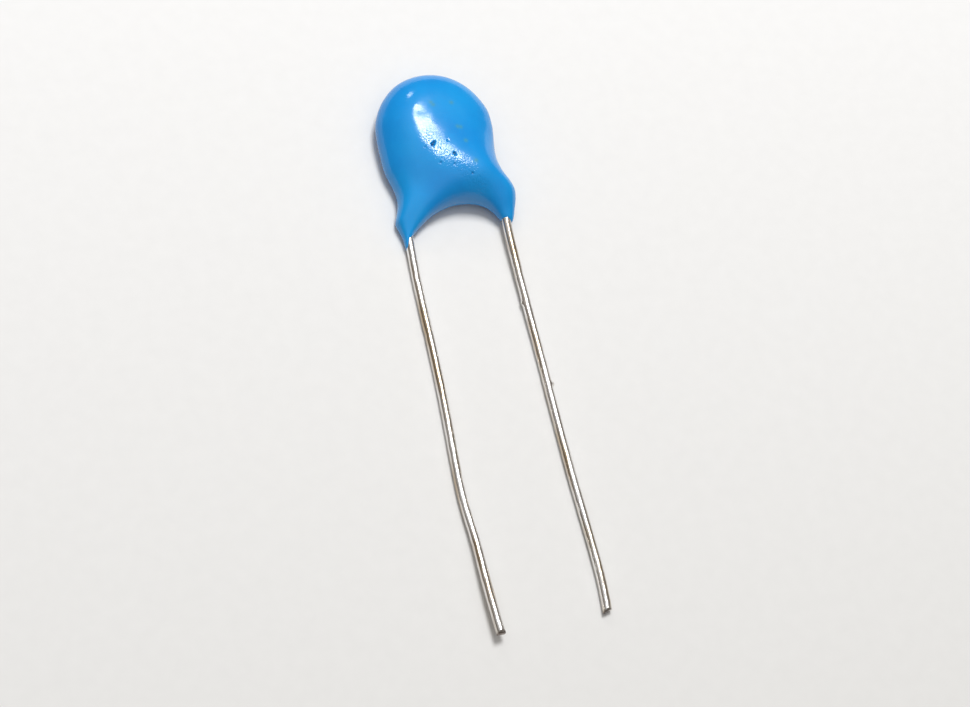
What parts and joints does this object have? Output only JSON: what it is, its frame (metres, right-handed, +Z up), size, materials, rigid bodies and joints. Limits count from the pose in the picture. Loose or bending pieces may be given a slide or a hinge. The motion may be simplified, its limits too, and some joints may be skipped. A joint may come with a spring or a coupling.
{
  "type": "ceramic disc capacitor",
  "caption": "Radial-lead ceramic disc capacitor lying flat: a blue epoxy-dipped pear-shaped body with long tinned wire leads.",
  "frame": {"origin": "on the surface that the part lies on, under the middle of its box", "axes": "+Z up out of the front face of the disc, which faces up; the wire leads run towards -Y and the disc lies towards +Y; +X is to the right seen from above with the leads towards the viewer"},
  "size_m": [0.0094, 0.0428, 0.0035],
  "materials": {
    "epoxy_blue": "glossy dipped epoxy",
    "tinned_wire": "tinned, lightly stained",
    "solder": "matt solder",
    "silver_electrode": "fired silver, matt",
    "ceramic_body": "fired ceramic, matt"
  },
  "bodies": {
    "root": {"epoxy_coating": "epoxy_blue", "ceramic_disc": "ceramic_body", "front_electrode": "silver_electrode", "rear_electrode": "silver_electrode", "front_solder": "solder", "rear_solder": "solder", "front_lead": "tinned_wire", "rear_lead": "tinned_wire"}
  },
  "joints": []
}
